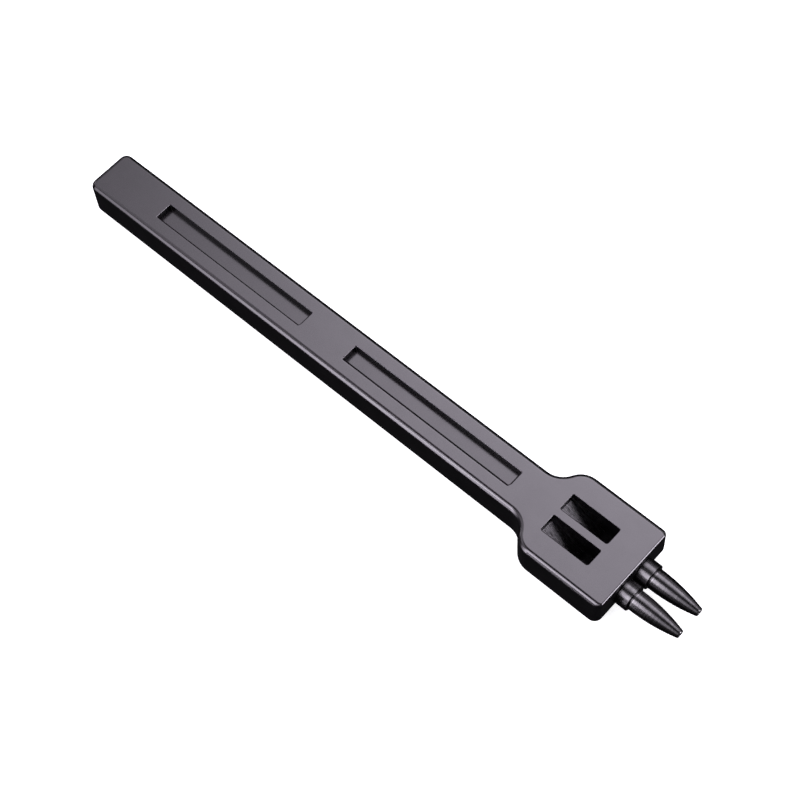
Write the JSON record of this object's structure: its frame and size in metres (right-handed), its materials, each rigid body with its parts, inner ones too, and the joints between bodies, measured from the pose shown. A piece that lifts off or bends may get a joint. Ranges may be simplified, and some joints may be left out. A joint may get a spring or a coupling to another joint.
{
  "type": "two-prong leather hole punch",
  "caption": "Flat steel striking bar with a widened head that holds hollow round punch tubes in a row, with waste windows behind them.",
  "frame": {"origin": "middle of the flat back, half way along the overall length", "axes": "+X along the tool from the struck end towards the punch tubes, +Z out of the recessed face, +Y across to the left tube"},
  "size_m": [0.1354, 0.0182, 0.0077],
  "materials": {
    "blackened_holder": "satin black coating on steel, fine even grain, slight wear on the edges",
    "blackened_tube": "turned and blackened steel, semi-gloss, bright at the cutting rim"
  },
  "bodies": {
    "root": {"punch_holder": "blackened_holder", "punch_tube_left": "blackened_tube", "punch_tube_right": "blackened_tube"}
  },
  "joints": []
}
